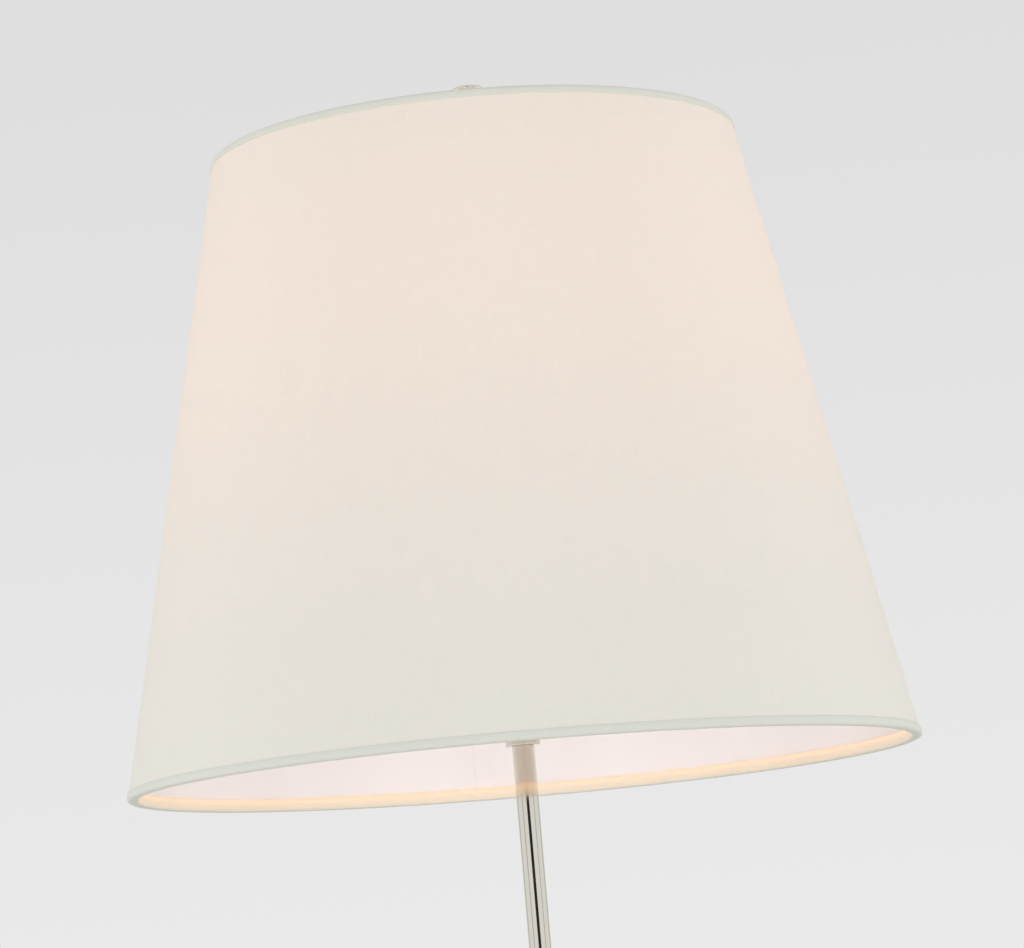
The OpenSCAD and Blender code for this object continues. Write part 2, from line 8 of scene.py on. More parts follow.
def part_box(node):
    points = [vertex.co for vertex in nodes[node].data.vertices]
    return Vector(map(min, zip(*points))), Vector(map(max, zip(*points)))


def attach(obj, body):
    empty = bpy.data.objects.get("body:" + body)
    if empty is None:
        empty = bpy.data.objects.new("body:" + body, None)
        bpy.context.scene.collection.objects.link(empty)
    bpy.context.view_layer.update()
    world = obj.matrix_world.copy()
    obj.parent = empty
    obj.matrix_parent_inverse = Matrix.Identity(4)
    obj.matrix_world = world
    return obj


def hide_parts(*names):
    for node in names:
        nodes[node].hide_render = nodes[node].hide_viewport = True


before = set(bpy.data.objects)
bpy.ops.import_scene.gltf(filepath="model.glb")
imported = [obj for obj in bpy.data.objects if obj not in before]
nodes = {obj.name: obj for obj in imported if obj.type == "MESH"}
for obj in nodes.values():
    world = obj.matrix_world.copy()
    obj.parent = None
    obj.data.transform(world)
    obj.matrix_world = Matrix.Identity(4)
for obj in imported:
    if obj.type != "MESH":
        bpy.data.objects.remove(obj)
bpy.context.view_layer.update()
mm = 0.001
print("frame loaded,", len(nodes), "nodes")


# shader helpers

def linearColour(hexCode, alpha=1.0):
    # sRGB hex to the linear values that a socket takes
    channels = [int(hexCode[i:i + 2], 16) / 255 for i in (1, 3, 5)]
    return tuple(c / 12.92 if c <= 0.04045 else ((c + 0.055) / 1.055) ** 2.4 for c in channels) + (alpha,)


def addNode(tree, kind, settings=None, links=None):
    # settings name either a property of the node or one of its sockets
    node = tree.nodes.new(kind)
    for key, value in (settings or {}).items():
        if isinstance(key, str) and hasattr(node, key):
            setattr(node, key, value)
        else:
            node.inputs[key].default_value = value
    for socket, source in (links or {}).items():
        tree.links.new(source, node.inputs[socket])
    return node


def newMaterial(name):
    material = bpy.data.materials.new(name)
    material.use_nodes = True
    material.node_tree.nodes.clear()
    return material, material.node_tree


def closeMaterial(tree, shader):
    addNode(tree, "ShaderNodeOutputMaterial", links={"Surface": shader})


def blendColours(tree, share, low, high):
    blend = addNode(tree, "ShaderNodeMix", {"data_type": "RGBA"}, {0: share})
    blend.inputs[6].default_value = low
    blend.inputs[7].default_value = high
    return blend.outputs[2]


def cloud(tree, vector, scale, low, high, spread=(0.35, 0.65), detail=3.0):
    # soft cloudy mix of two colours
    field = addNode(tree, "ShaderNodeTexNoise", {"Scale": scale, "Detail": detail}, {"Vector": vector})
    share = addNode(tree, "ShaderNodeMapRange", {"From Min": spread[0], "From Max": spread[1]},
                    {"Value": field.outputs["Fac"]})
    return blendColours(tree, share.outputs["Result"], low, high)


# mesh helpers: profiles are in mm, as (radius, height)

def boxMm(node):
    low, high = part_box(node)
    return low / mm, high / mm


def reachMm(node):
    low, high = boxMm(node)
    return (high.y - low.y) / 2


def turned(points, steps=64, closed=True, soften=0.0, segments=3, sharp=25):
    # a lathe-turned body about Z, its hard corners eased by a small bevel
    bm = bmesh.new()
    verts = [bm.verts.new((r * mm, 0, z * mm)) for r, z in points]
    pairs = list(zip(verts, verts[1:])) + ([(verts[-1], verts[0])] if closed else [])
    edges = [bm.edges.new(pair) for pair in pairs]
    bmesh.ops.spin(bm, geom=verts + edges, cent=(0, 0, 0), axis=(0, 0, 1), dvec=(0, 0, 0),
                   angle=math.tau, steps=steps, use_merge=True, use_duplicate=False)
    bmesh.ops.remove_doubles(bm, verts=bm.verts, dist=1e-6)
    bmesh.ops.dissolve_degenerate(bm, dist=1e-7, edges=bm.edges)
    bmesh.ops.recalc_face_normals(bm, faces=bm.faces)
    if soften:
        limit = math.radians(sharp)
        corners = [e for e in bm.edges if len(e.link_faces) == 2 and e.calc_face_angle(0) > limit]
        bmesh.ops.bevel(bm, geom=corners, offset=soften * mm, offset_type="OFFSET", affect="EDGES",
                        segments=segments, profile=0.5, material=-1, clamp_overlap=True)
    return bm


def sleeveProfile(radius, bore, low, high):
    return [(bore, low), (radius, low), (radius, high), (bore, high)]


def swept(path, radius, sides=20, caps=True):
    # a round wire along a list of points in mm
    bm = bmesh.new()
    points = [Vector(p) * mm for p in path]
    rings = []
    side = None
    for i, point in enumerate(points):
        ahead = (points[min(i + 1, len(points) - 1)] - points[max(i - 1, 0)]).normalized()
        if side is None:
            side = ahead.orthogonal().normalized()
        side = (side - ahead * side.dot(ahead)).normalized()
        up = ahead.cross(side)
        rings.append([bm.verts.new(point + (side * math.cos(a) + up * math.sin(a)) * radius * mm)
                      for a in (math.tau * k / sides for k in range(sides))])
    for first, second in zip(rings, rings[1:]):
        for k in range(sides):
            bm.faces.new((first[k], first[(k + 1) % sides], second[(k + 1) % sides], second[k]))
    if caps:
        bm.faces.new(list(reversed(rings[0])))
        bm.faces.new(rings[-1])
    return bm


def wireRing(radius, z, wire, steps=160, sides=20):
    angles = [math.tau * k / sides for k in range(sides)]
    points = [(radius + wire * math.cos(a), z + wire * math.sin(a)) for a in angles]
    return turned(points, steps)


def arcPath(x, z, radius, start, end, count=14):
    # points on an arc in the XZ plane, angles in degrees
    return [(x + radius * math.cos(math.radians(a)), 0, z + radius * math.sin(math.radians(a)))
            for a in (start + (end - start) * i / count for i in range(count + 1))]


def joined(parts):
    # several closed bodies in one mesh
    whole = bmesh.new()
    for part in parts:
        mesh = bpy.data.meshes.new("part")
        part.to_mesh(mesh)
        part.free()
        whole.from_mesh(mesh)
        bpy.data.meshes.remove(mesh)
    return whole


def placed(bm, matrix):
    bmesh.ops.transform(bm, matrix=matrix, verts=bm.verts)
    return bm


def combined(bm, other, operation="DIFFERENCE"):
    # an exact boolean, worked out once so that the finished mesh needs no helper object
    scratch = []
    for source in (bm, other):
        mesh = bpy.data.meshes.new("scratch")
        source.to_mesh(mesh)
        source.free()
        item = bpy.data.objects.new("scratch", mesh)
        bpy.context.scene.collection.objects.link(item)
        scratch.append(item)
    step = scratch[0].modifiers.new("step", "BOOLEAN")
    step.operation = operation
    step.solver = "EXACT"
    step.object = scratch[1]
    graph = bpy.context.evaluated_depsgraph_get()
    mesh = bpy.data.meshes.new_from_object(scratch[0].evaluated_get(graph), depsgraph=graph)
    result = bmesh.new()
    result.from_mesh(mesh)
    bpy.data.meshes.remove(mesh)
    for item in scratch:
        bpy.data.objects.remove(item)
    return result


def barAlong(start, end, radius, sides=48, soften=0.0):
    # a round bar from start to end, both in mm
    reach = Vector(end) - Vector(start)
    length = reach.length
    bm = turned([(0, 0), (radius, 0), (radius, length), (0, length)], sides, closed=False, soften=soften)
    return placed(bm, alongMatrix(reach.normalized(), start))


def alongMatrix(axis, start):
    # stands a body that was turned about Z along another axis, its foot at start in mm
    turn = Vector((0, 0, 1)).rotation_difference(Vector(axis)).to_matrix().to_4x4()
    return Matrix.Translation(Vector(start) * mm) @ turn


def finishPiece(bm, name, body, material, replaced=(), smoothAngle=32, weighted=True):
    bmesh.ops.recalc_face_normals(bm, faces=bm.faces)
    for face in bm.faces:
        face.smooth = True
    limit = math.radians(smoothAngle)
    for edge in bm.edges:
        if len(edge.link_faces) == 2 and edge.calc_face_angle(0) > limit:
            edge.smooth = False
    mesh = bpy.data.meshes.new(name)
    bm.to_mesh(mesh)
    bm.free()
    piece = bpy.data.objects.new(name, mesh)
    bpy.context.scene.collection.objects.link(piece)
    mesh.materials.append(material)
    if weighted:
        # keeps long flat and round faces true right up to their bevels
        even = piece.modifiers.new("even", "WEIGHTED_NORMAL")
        even.keep_sharp = True
    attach(piece, body)
    if replaced:
        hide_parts(*replaced)
    return piece


# places, read from the frame

ringLow, ringHigh = boxMm("lower_ring")
ringWire = (ringHigh.z - ringLow.z) / 2
lowerZ = (ringHigh.z + ringLow.z) / 2
lowerRadius = reachMm("lower_ring") - ringWire
hemLow, hemHigh = boxMm("upper_hem")
upperZ = (hemHigh.z + hemLow.z) / 2
upperRadius = reachMm("upper_hem") - (reachMm("lower_hem") - lowerRadius)
bulbLow, bulbHigh = boxMm("bulb_glass")
bulbRadius = reachMm("bulb_glass")
bulbCentre = Vector((0, 0, bulbHigh.z - bulbRadius))
seatZ = boxMm("finial")[0].z - 2


def coneRadius(z):
    return lowerRadius + (upperRadius - lowerRadius) * (z - lowerZ) / (upperZ - lowerZ)


# camera

# distance and belowRing in metres, angles in degrees, lens in mm
cameraView = {
    "distance": 2.467, "belowRing": 0.1818, "yaw": 0.157, "pitch": 7.98, "roll": -4.88,
    "lens": 154.7, "sensor": 36,
}


def makeCamera(view):
    yaw, pitch, roll = (math.radians(view[key]) for key in ("yaw", "pitch", "roll"))
    ahead = Vector((math.sin(yaw) * math.cos(pitch), math.cos(yaw) * math.cos(pitch), math.sin(pitch)))
    right = Vector((math.cos(yaw), -math.sin(yaw), 0))
    up = right.cross(ahead)
    tiltedRight = right * math.cos(roll) + up * math.sin(roll)
    tiltedUp = up * math.cos(roll) - right * math.sin(roll)
    data = bpy.data.cameras.new("camera")
    data.lens = view["lens"]
    data.sensor_width = view["sensor"]
    camera = bpy.data.objects.new("camera", data)
    bpy.context.scene.collection.objects.link(camera)
    turn = Matrix((tiltedRight, tiltedUp, -ahead)).transposed().to_4x4()
    camera.matrix_world = Matrix.Translation((0, -view["distance"], lowerZ * mm - view["belowRing"])) @ turn
    bpy.context.scene.camera = camera


makeCamera(cameraView)

# room: pale floor, even grey surround, soft boxes either side, flags for the metal to reflect

# a flag is its name, its angle round the lamp in degrees, its distance and width in metres, and the tone it
# glows with, seen only in the metal's reflections: painted reflection

room = {
    "skyLow": "#EAEAEA", "skyHigh": "#DFDFDF", "skyBand": (0.03, 0.235),
    "floorSize": 9.0, "floorColour": "#E8E7E5",
    "leftPower": 21.0, "leftPlace": (-2.35, -1.52, 1.0),
    "rightPower": 21.0, "rightPlace": (2.35, -1.52, 1.0),
    "boxSize": 1.5,
    "fillPower": 9.5, "fillColour": "#E6F2FF", "fillPlace": (0, -1.6, 0.75), "fillSize": 0.6,
    "flagHeight": 1.7, "flagTall": 1.25,
    "flags": [("darkFlag", 0, 3.5, 1.75, "#2E2822"), ("leftFlag", -58, 3.2, 0.5, "#B4B2AC"),
              ("rightFlag", 62, 3.2, 0.42, "#B0AEA8"), ("leftEdgeFlag", -128, 3.2, 1.3, "#C6C5C1"),
              ("rightEdgeFlag", 130, 3.2, 1.3, "#C2C1BD")],
}


def makeSky(settings):
    world = bpy.data.worlds.new("surround")
    world.use_nodes = True
    tree = world.node_tree
    tree.nodes.clear()
    direction = addNode(tree, "ShaderNodeTexCoord").outputs["Generated"]
    height = addNode(tree, "ShaderNodeSeparateXYZ", links={"Vector": direction}).outputs["Z"]
    low, high = settings["skyBand"]
    share = addNode(tree, "ShaderNodeMapRange", {"From Min": low, "From Max": high}, {"Value": height})
    colour = blendColours(tree, share.outputs["Result"], linearColour(settings["skyLow"]),
                          linearColour(settings["skyHigh"]))
    glow = addNode(tree, "ShaderNodeBackground", links={"Color": colour})
    addNode(tree, "ShaderNodeOutputWorld", links={"Surface": glow.outputs["Background"]})
    bpy.context.scene.world = world


def makeSoftBox(name, power, size, place, target):
    data = bpy.data.lights.new(name, "AREA")
    data.energy = power
    data.size = size
    lamp = bpy.data.objects.new(name, data)
    bpy.context.scene.collection.objects.link(lamp)
    lamp.location = place
    lamp.visible_glossy = False
    lamp.rotation_euler = (Vector(target) - Vector(place)).to_track_quat("-Z", "Y").to_euler()
    return lamp


def stagePlane(name, width, depth, material, matrix):
    bm = bmesh.new()
    bmesh.ops.create_grid(bm, x_segments=1, y_segments=1, size=0.5)
    bmesh.ops.scale(bm, vec=(width, depth, 1), verts=bm.verts)
    placed(bm, matrix)
    mesh = bpy.data.meshes.new(name)
    bm.to_mesh(mesh)
    bm.free()
    plane = bpy.data.objects.new(name, mesh)
    bpy.context.scene.collection.objects.link(plane)
    mesh.materials.append(material)
    return plane


def floorPaint():
    # matt painted studio floor, rolled on, so barely cloudy
    material, tree = newMaterial("matt studio paint")
    place = addNode(tree, "ShaderNodeTexCoord").outputs["Object"]
    tone = linearColour(room["floorColour"])
    colour = cloud(tree, place, 3.0, tone, tuple(min(1, 1.03 * c) for c in tone[:3]) + (1,))
    shader = addNode(tree, "ShaderNodeBsdfPrincipled", {"Roughness": 0.8}, {"Base Color": colour})
    closeMaterial(tree, shader.outputs["BSDF"])
    return material


def flagReflectionGlow(tone):
    # an even glow of a set tone, not lit by the lamps and seen only in reflections: painted reflection of a
    # dark or grey room
    material, tree = newMaterial("flag reflection glow")
    shader = addNode(tree, "ShaderNodeEmission", {"Color": linearColour(tone)})
    closeMaterial(tree, shader.outputs["Emission"])
    return material


bpy.context.scene.view_settings.view_transform = "Standard"
makeSky(room)
stagePlane("floor", room["floorSize"], room["floorSize"], floorPaint(), Matrix.Identity(4))
for name, angle, distance, width, tone in room["flags"]:
    turn = Matrix.Rotation(math.radians(angle), 4, "Z")
    stood = Matrix.Translation((0, -distance, room["flagHeight"])) @ Matrix.Rotation(math.radians(90), 4, "X")
    flag = stagePlane(name, width, room["flagTall"], flagReflectionGlow(tone), turn @ stood)
    flag.visible_camera = flag.visible_diffuse = flag.visible_shadow = flag.visible_transmission = False
shadeMiddle = (0, 0, (lowerZ + upperZ) / 2 * mm)
makeSoftBox("leftBox", room["leftPower"], room["boxSize"], room["leftPlace"], shadeMiddle)
makeSoftBox("rightBox", room["rightPower"], room["boxSize"], room["rightPlace"], shadeMiddle)
print("room lit")


# materials

def metal(name, colour, shine, grain=0.03, hazeScale=55.0):
    material, tree = newMaterial(name)
    place = addNode(tree, "ShaderNodeTexCoord").outputs["Object"]
    haze = addNode(tree, "ShaderNodeTexNoise", {"Scale": hazeScale, "Detail": 4.0}, {"Vector": place})
    rough = addNode(tree, "ShaderNodeMapRange", {
        "From Min": 0.3, "From Max": 0.75, "To Min": shine[0], "To Max": shine[1]},
        {"Value": haze.outputs["Fac"]})
    fine = addNode(tree, "ShaderNodeTexNoise", {"Scale": 900.0, "Detail": 2.0}, {"Vector": place})
    bump = addNode(tree, "ShaderNodeBump", {"Strength": grain, "Distance": 0.1 * mm},
                   {"Height": fine.outputs["Fac"]})
    shader = addNode(tree, "ShaderNodeBsdfPrincipled", {"Base Color": linearColour(colour), "Metallic": 1.0},
                     {"Roughness": rough.outputs["Result"], "Normal": bump.outputs["Normal"]})
    closeMaterial(tree, shader.outputs["BSDF"])
    return material


def mouldedSurface(name, low, high, rough, bumpScale, bumpMm, cloudScale=20.0, coat=0.0):
    material, tree = newMaterial(name)
    place = addNode(tree, "ShaderNodeTexCoord").outputs["Object"]
    colour = cloud(tree, place, cloudScale, linearColour(low), linearColour(high))
    texture = addNode(tree, "ShaderNodeTexNoise", {"Scale": bumpScale, "Detail": 3.0}, {"Vector": place})
    bump = addNode(tree, "ShaderNodeBump", {"Strength": 0.5, "Distance": bumpMm * mm},
                   {"Height": texture.outputs["Fac"]})
    shader = addNode(tree, "ShaderNodeBsdfPrincipled", {"Roughness": rough, "Coat Weight": coat},
                     {"Base Color": colour, "Normal": bump.outputs["Normal"]})
    closeMaterial(tree, shader.outputs["BSDF"])
    return material


# nickel plate, buffed to a mirror, with the faintest polishing haze
nickel = metal("polished nickel plate", "#E6E3D9", (0.03, 0.08), 0.02)
# drawn and stamped brass under clear lacquer
brass = metal("lacquered brass", "#D2AE68", (0.16, 0.28), 0.08)
# bright zinc plating on steel hardware
zinc = metal("zinc-plated steel", "#B9BDBF", (0.28, 0.42), 0.2)
# pressed aluminium, left bright
aluminium = metal("pressed aluminium", "#C9CACB", (0.25, 0.38), 0.1)
# sand-cast iron, japanned black and left slightly rough
castIron = mouldedSurface("japanned cast iron", "#1E1E20", "#2A2A2C", 0.55, 260.0, 0.4)
# pressed wool felt: matt grey fibres
felt = mouldedSurface("pressed wool felt", "#2C2B2A", "#3E3C3A", 0.95, 1400.0, 0.5, 300.0)
# natural nylon, injection moulded
nylon = mouldedSurface("natural nylon", "#DCD6C4", "#E4DFCF", 0.42, 120.0, 0.05)
# black rubber, moulded with a dull skin
rubber = mouldedSurface("moulded black rubber", "#141414", "#1C1C1B", 0.6, 500.0, 0.08)
# fish paper, a hard tan insulating card
fishPaper = mouldedSurface("fish paper", "#A98E63", "#B89C70", 0.8, 300.0, 0.05, 60.0)
# phenolic moulding, glossy brown-black
bakelite = mouldedSurface("black phenolic", "#171311", "#1F1A17", 0.22, 200.0, 0.02, 40.0, 0.3)
# black glass bead pressed into the cap
blackGlass = mouldedSurface("black cap glass", "#0E0E12", "#14141A", 0.08, 100.0, 0.01)
# white enamel baked on steel wire
enamel = mouldedSurface("white enamelled wire", "#E6E3DC", "#ECEAE4", 0.32, 400.0, 0.02, 30.0, 0.2)
# self-adhesive styrene sheet, matt white with a faint orange-peel
styrene = mouldedSurface("white styrene sheet", "#D9D9DB", "#DEDEE0", 0.6, 160.0, 0.03, 6.0)


def litGlass(settings):
    # glass etched inside, so the lit filament shows as an even warm glow
    material, tree = newMaterial("etched bulb glass")
    place = addNode(tree, "ShaderNodeTexCoord").outputs["Object"]
    height = addNode(tree, "ShaderNodeSeparateXYZ", links={"Vector": place}).outputs["Z"]
    share = addNode(tree, "ShaderNodeMapRange", {
        "From Min": (bulbCentre.z - settings["fadeLow"]) * mm,
        "From Max": (bulbCentre.z - settings["fadeHigh"]) * mm}, {"Value": height})
    glow = blendColours(tree, share.outputs["Result"], linearColour(settings["dim"]),
                        linearColour(settings["bright"]))
    shader = addNode(tree, "ShaderNodeBsdfPrincipled",
                     {"Base Color": linearColour(settings["glass"]), "Roughness": 0.3,
                      "Emission Strength": settings["strength"]}, {"Emission Color": glow})
    closeMaterial(tree, shader.outputs["BSDF"])
    return material


# the fade runs between two heights in mm under the globe's centre
bulbGlow = {
    "glass": "#F4EFE4", "dim": "#E8A860", "bright": "#FFE3B8", "strength": 2.5, "fadeLow": 50, "fadeHigh": 14,
}
frosted = litGlass(bulbGlow)

# thread spacing and slubs in mm
cloth = {
    "thread": "#EDEEE7", "threadDark": "#E7E8E0", "tape": "#DCDFD6", "tapeDark": "#D7DAD1",
    "threadPitch": 0.55, "slubLength": 22.0, "slubWidth": 1.1,
    "glow": "#FFF6E8", "through": 0.12, "tapeThrough": 0.03,
}


def weaveHeight(tree, uv, pitch):
    # over and under of a plain weave, one band for each set of threads; a wave texture of scale s has bands
    # 0.31416 / s metres apart
    waves = []
    for direction in ("X", "Y"):
        wave = addNode(tree, "ShaderNodeTexWave", {
            "wave_type": "BANDS", "bands_direction": direction, "wave_profile": "SIN",
            "Scale": 0.31416 / (pitch * mm), "Distortion": 1.2, "Detail": 2.0, "Detail Scale": 1.5},
            {"Vector": uv})
        waves.append(wave.outputs["Fac"])
    product = addNode(tree, "ShaderNodeMath", {"operation": "MULTIPLY"}, {0: waves[0], 1: waves[1]})
    return product.outputs["Value"]


def slubStreaks(tree, uv, length, width, along):
    # thick places in the yarn: long thin streaks along the thread
    size = (1 / (length * mm), 1 / (width * mm), 1)
    if along == "Y":
        size = (size[1], size[0], 1)
    mapped = addNode(tree, "ShaderNodeMapping", {"vector_type": "POINT"}, {"Vector": uv})
    mapped.inputs["Scale"].default_value = size
    return addNode(tree, "ShaderNodeTexNoise", {"Scale": 1.0, "Detail": 3.0, "Roughness": 0.6},
                   {"Vector": mapped.outputs["Vector"]}).outputs["Fac"]


def linenCloth(name, dark, light, through):
    # plain-woven linen in an off-white; light from behind comes through it warm
    material, tree = newMaterial(name)
    uv = addNode(tree, "ShaderNodeUVMap", {"uv_map": "weave"}).outputs["UV"]
    weave = weaveHeight(tree, uv, cloth["threadPitch"])
    weft = slubStreaks(tree, uv, cloth["slubLength"], cloth["slubWidth"], "X")
    warp = slubStreaks(tree, uv, cloth["slubLength"], cloth["slubWidth"], "Y")
    streaks = addNode(tree, "ShaderNodeMath", {"operation": "ADD"}, {0: weft, 1: warp}).outputs["Value"]
    height = addNode(tree, "ShaderNodeMath", {"operation": "MULTIPLY_ADD", 1: 0.5}, {0: streaks, 2: weave})
    tone = addNode(tree, "ShaderNodeMapRange", {"From Min": 0.5, "From Max": 1.5}, {"Value": streaks})
    colour = blendColours(tree, tone.outputs["Result"], linearColour(dark), linearColour(light))
    bump = addNode(tree, "ShaderNodeBump", {"Strength": 0.2, "Distance": 0.2 * mm},
                   {"Height": height.outputs["Value"]})
    front = addNode(tree, "ShaderNodeBsdfPrincipled", {"Roughness": 0.9, "Specular IOR Level": 0.2},
                    {"Base Color": colour, "Normal": bump.outputs["Normal"]})
    behind = addNode(tree, "ShaderNodeBsdfTranslucent", {"Color": linearColour(cloth["glow"])})
    both = addNode(tree, "ShaderNodeMixShader", {0: through},
                   {1: front.outputs["BSDF"], 2: behind.outputs["BSDF"]})
    closeMaterial(tree, both.outputs[0])
    return material


wallLinen = linenCloth("plain-woven linen", cloth["threadDark"], cloth["thread"], cloth["through"])
tapeLinen = linenCloth("linen hem tape", cloth["tapeDark"], cloth["tape"], cloth["tapeThrough"])
print("materials made")


# shade

shadeWall = {
    "rows": 24, "steps": 240, "wave": 0.15, "gap": 0.02, "lapAngle": 96.75, "lapWidth": 10, "lapRise": 0.25,
    "lapEdge": 0.15,
}


def clothUv(bm):
    # u runs round the cone and v up it, both in metres on the cloth
    layer = bm.loops.layers.uv.new("weave")
    middle = coneRadius((lowerZ + upperZ) / 2) * mm
    for face in bm.faces:
        centre = face.calc_center_median()
        facing = math.atan2(centre.y, centre.x)
        for loop in face.loops:
            angle = math.atan2(loop.vert.co.y, loop.vert.co.x)
            angle -= math.tau * round((angle - facing) / math.tau)
            loop[layer].uv = (angle * middle, loop.vert.co.z)


def ripple(bm, depth, scale):
    # moves each point in or out a little, as handwork does
    for vert in bm.verts:
        radial = Vector((vert.co.x, vert.co.y, 0))
        if radial.length > 1e-6:
            vert.co += radial.normalized() * depth * mm * noise.noise(vert.co * scale)


def lapSeam(bm, settings, middle, side):
    # the strip where the sheet's two ends overlap stands a little proud, with a crisp step at each edge
    step = math.tau / settings["steps"]
    for vert in bm.verts:
        radius = math.hypot(vert.co.x, vert.co.y)
        off = math.atan2(vert.co.y, vert.co.x) - math.radians(settings["lapAngle"])
        column = abs(off) / step
        if side * (radius / mm - coneRadius(vert.co.z / mm) - middle) < 0 or column > 2:
            continue
        half = settings["lapWidth"] / 2 * mm / radius
        if column < 1:
            radius += side * settings["lapRise"] * mm
        else:
            half += settings["lapEdge"] * mm / radius
        angle = math.radians(settings["lapAngle"]) + math.copysign(half, off)
        vert.co.x, vert.co.y = radius * math.cos(angle), radius * math.sin(angle)


def coneShell(inside, outside, settings, lapSide):
    # a thin closed cone between two offsets from the ring centres
    low, high = boxMm("shade_linen")
    rows = settings["rows"]
    heights = [low.z + (high.z - low.z) * i / rows for i in range(rows + 1)]
    points = [(coneRadius(z) + outside, z) for z in heights]
    points += [(coneRadius(z) + inside, z) for z in reversed(heights)]
    bm = turned(points, settings["steps"])
    lapSeam(bm, settings, (inside + outside) / 2, lapSide)
    ripple(bm, settings["wave"], 9)
    clothUv(bm)
    return bm


linenLowZ = boxMm("shade_linen")[0].z
linenOut = reachMm("shade_linen") - coneRadius(linenLowZ)
linerOut = reachMm("shade_liner") - coneRadius(linenLowZ)
linerIn = 2 * linerOut - linenOut

linenPiece = finishPiece(coneShell(linerOut, linenOut, shadeWall, 1),
                         "linen_wall", "shade", wallLinen, ["shade_linen"], weighted=False)
linerPiece = finishPiece(coneShell(linerIn, linerOut - shadeWall["gap"], shadeWall, -1),
                         "styrene_liner", "shade", styrene, ["shade_liner"], weighted=False)

# a tape rolled round the ring and the wall's edge, creased where it ends on the outside
hemTape = {
    "steps": 240, "wave": 0.2, "outer": 4.0, "inner": -2.45, "bottom": -4.5, "lapTop": 3.4,
    "lowerEnd": 0.9, "upperEnd": 0.6,
}


def makeHem(settings, ringRadius, ringZ, side, end, name, replaced):
    # up is measured away from the hem's fold, towards the middle of the shade
    lean = (upperRadius - lowerRadius) / (upperZ - lowerZ)
    outer, inner, bottom, lap = (settings[key] for key in ("outer", "inner", "bottom", "lapTop"))
    outline = [(outer - 1.3, end), (outer - 0.55, end - 0.15), (outer - 0.1, end - 0.7),
               (outer, (end + bottom) / 2), (outer - 0.35, bottom + 1.2), (outer - 1.3, bottom + 0.35),
               (outer - 2.8, bottom), (inner + 0.9, bottom), (inner + 0.2, bottom + 0.3), (inner, bottom + 1.0),
               (inner, -0.3), (inner + 0.45, 1.2), (inner + 1.6, 2.1), (0.4, 2.6), (1.1, lap - 0.3),
               (1.4, lap), (1.75, lap - 0.3), (1.9, 2.0)]
    points = [(ringRadius + across + lean * side * up, ringZ + side * up) for across, up in outline]
    bm = turned(points, settings["steps"])
    ripple(bm, settings["wave"], 60)
    clothUv(bm)
    piece = finishPiece(bm, name, "shade", tapeLinen, [replaced], smoothAngle=70, weighted=False)
    rounder = piece.modifiers.new("rounder", "SUBSURF")
    rounder.levels = 1
    rounder.render_levels = 1
    return piece


lowerHem = makeHem(hemTape, lowerRadius, lowerZ, 1, hemTape["lowerEnd"], "lower_hem_tape", "lower_hem")
upperHem = makeHem(hemTape, upperRadius, upperZ, -1, hemTape["upperEnd"], "upper_hem_tape", "upper_hem")

finishPiece(wireRing(lowerRadius, lowerZ, ringWire), "lower_wire_ring", "shade", enamel,
            ["lower_ring"], weighted=False)

spider = {"wire": 1.5, "angles": (90, 210, 330), "hub": 11, "hubHeight": 2, "bore": 3.15, "sag": 1.0}


def makeSpider(settings):
    parts = [wireRing(upperRadius, upperZ, ringWire)]
    hubMiddle = seatZ + settings["hubHeight"] / 2
    for angle in settings["angles"]:
        across = Vector((math.cos(math.radians(angle)), math.sin(math.radians(angle)), 0))
        ends = (settings["hub"] - 1, upperRadius - 0.2)
        path = []
        for i in range(13):
            share = i / 12
            drop = settings["sag"] * math.sin(math.pi * share)
            path.append(across * (ends[0] + (ends[1] - ends[0]) * share)
                        + Vector((0, 0, hubMiddle + (upperZ - hubMiddle) * share - drop)))
        parts.append(swept(path, settings["wire"]))
    hub = sleeveProfile(settings["hub"], settings["bore"], seatZ, seatZ + settings["hubHeight"])
    parts.append(turned(hub, 64, soften=0.4))
    return joined(parts)


finishPiece(makeSpider(spider), "ring_and_spider", "shade", enamel, ["upper_ring_spider"])

finialShape = {"disc": 8.6, "soften": 0.12}


def makeFinial(settings):
    low, high = boxMm("finial")
    base, top, disc = low.z, high.z, settings["disc"]
    under = top - 2.6
    points = [(0, base + 9.5), (3.15, base + 9.5), (3.15, base), (6, base), (6.15, base + 1), (6, base + 2),
              (4.8, base + 3.4), (4.8, base + 10.6)]
    points += [(3 + 2.2 * math.sin(math.radians(15 * i)), base + 12 + 5 * i / 12) for i in range(13)]
    points += [(2.2, base + 20), (2.2, under - 8), (2.45, under - 6.7), (3, under - 5.5), (disc - 0.4, under),
               (disc, under + 0.5), (disc, under + 1.2), (disc - 0.5, under + 1.7)]
    points += [((disc - 0.5) * math.cos(a), under + 1.7 + 0.9 * math.sin(a))
               for a in (math.radians(9 * i) for i in range(1, 11))]
    return turned(points, 72, closed=False, soften=settings["soften"])


finishPiece(makeFinial(finialShape), "turned_finial", "shade", nickel, ["finial"])

stud = {"pin": 2, "washer": 3.2, "shoulder": 6.5, "thread": 3.1, "shoulderHeight": 2}


def makeStud(settings):
    low, high = boxMm("swivel_stud")
    shoulder = seatZ - settings["shoulderHeight"]
    pin, washer, thread = settings["pin"], settings["washer"], settings["thread"]
    wide, washerTop = settings["shoulder"], low.z + 1.5
    points = [(0, low.z), (washer, low.z), (washer, washerTop), (pin, washerTop), (pin, shoulder),
              (wide, shoulder), (wide, seatZ), (thread, seatZ), (thread, high.z), (0, high.z)]
    return turned(points, 48, closed=False, soften=0.2)


finishPiece(makeStud(stud), "turned_swivel_stud", "shade", brass, ["swivel_stud"])
print("shade made")


# stem and neck

def makeTube(node, body, wall):
    low, high = boxMm(node)
    radius = reachMm(node)
    bm = turned(sleeveProfile(radius, radius - wall, low.z, high.z), 96, soften=0.25)
    finishPiece(bm, node + "_drawn", body, nickel, [node])


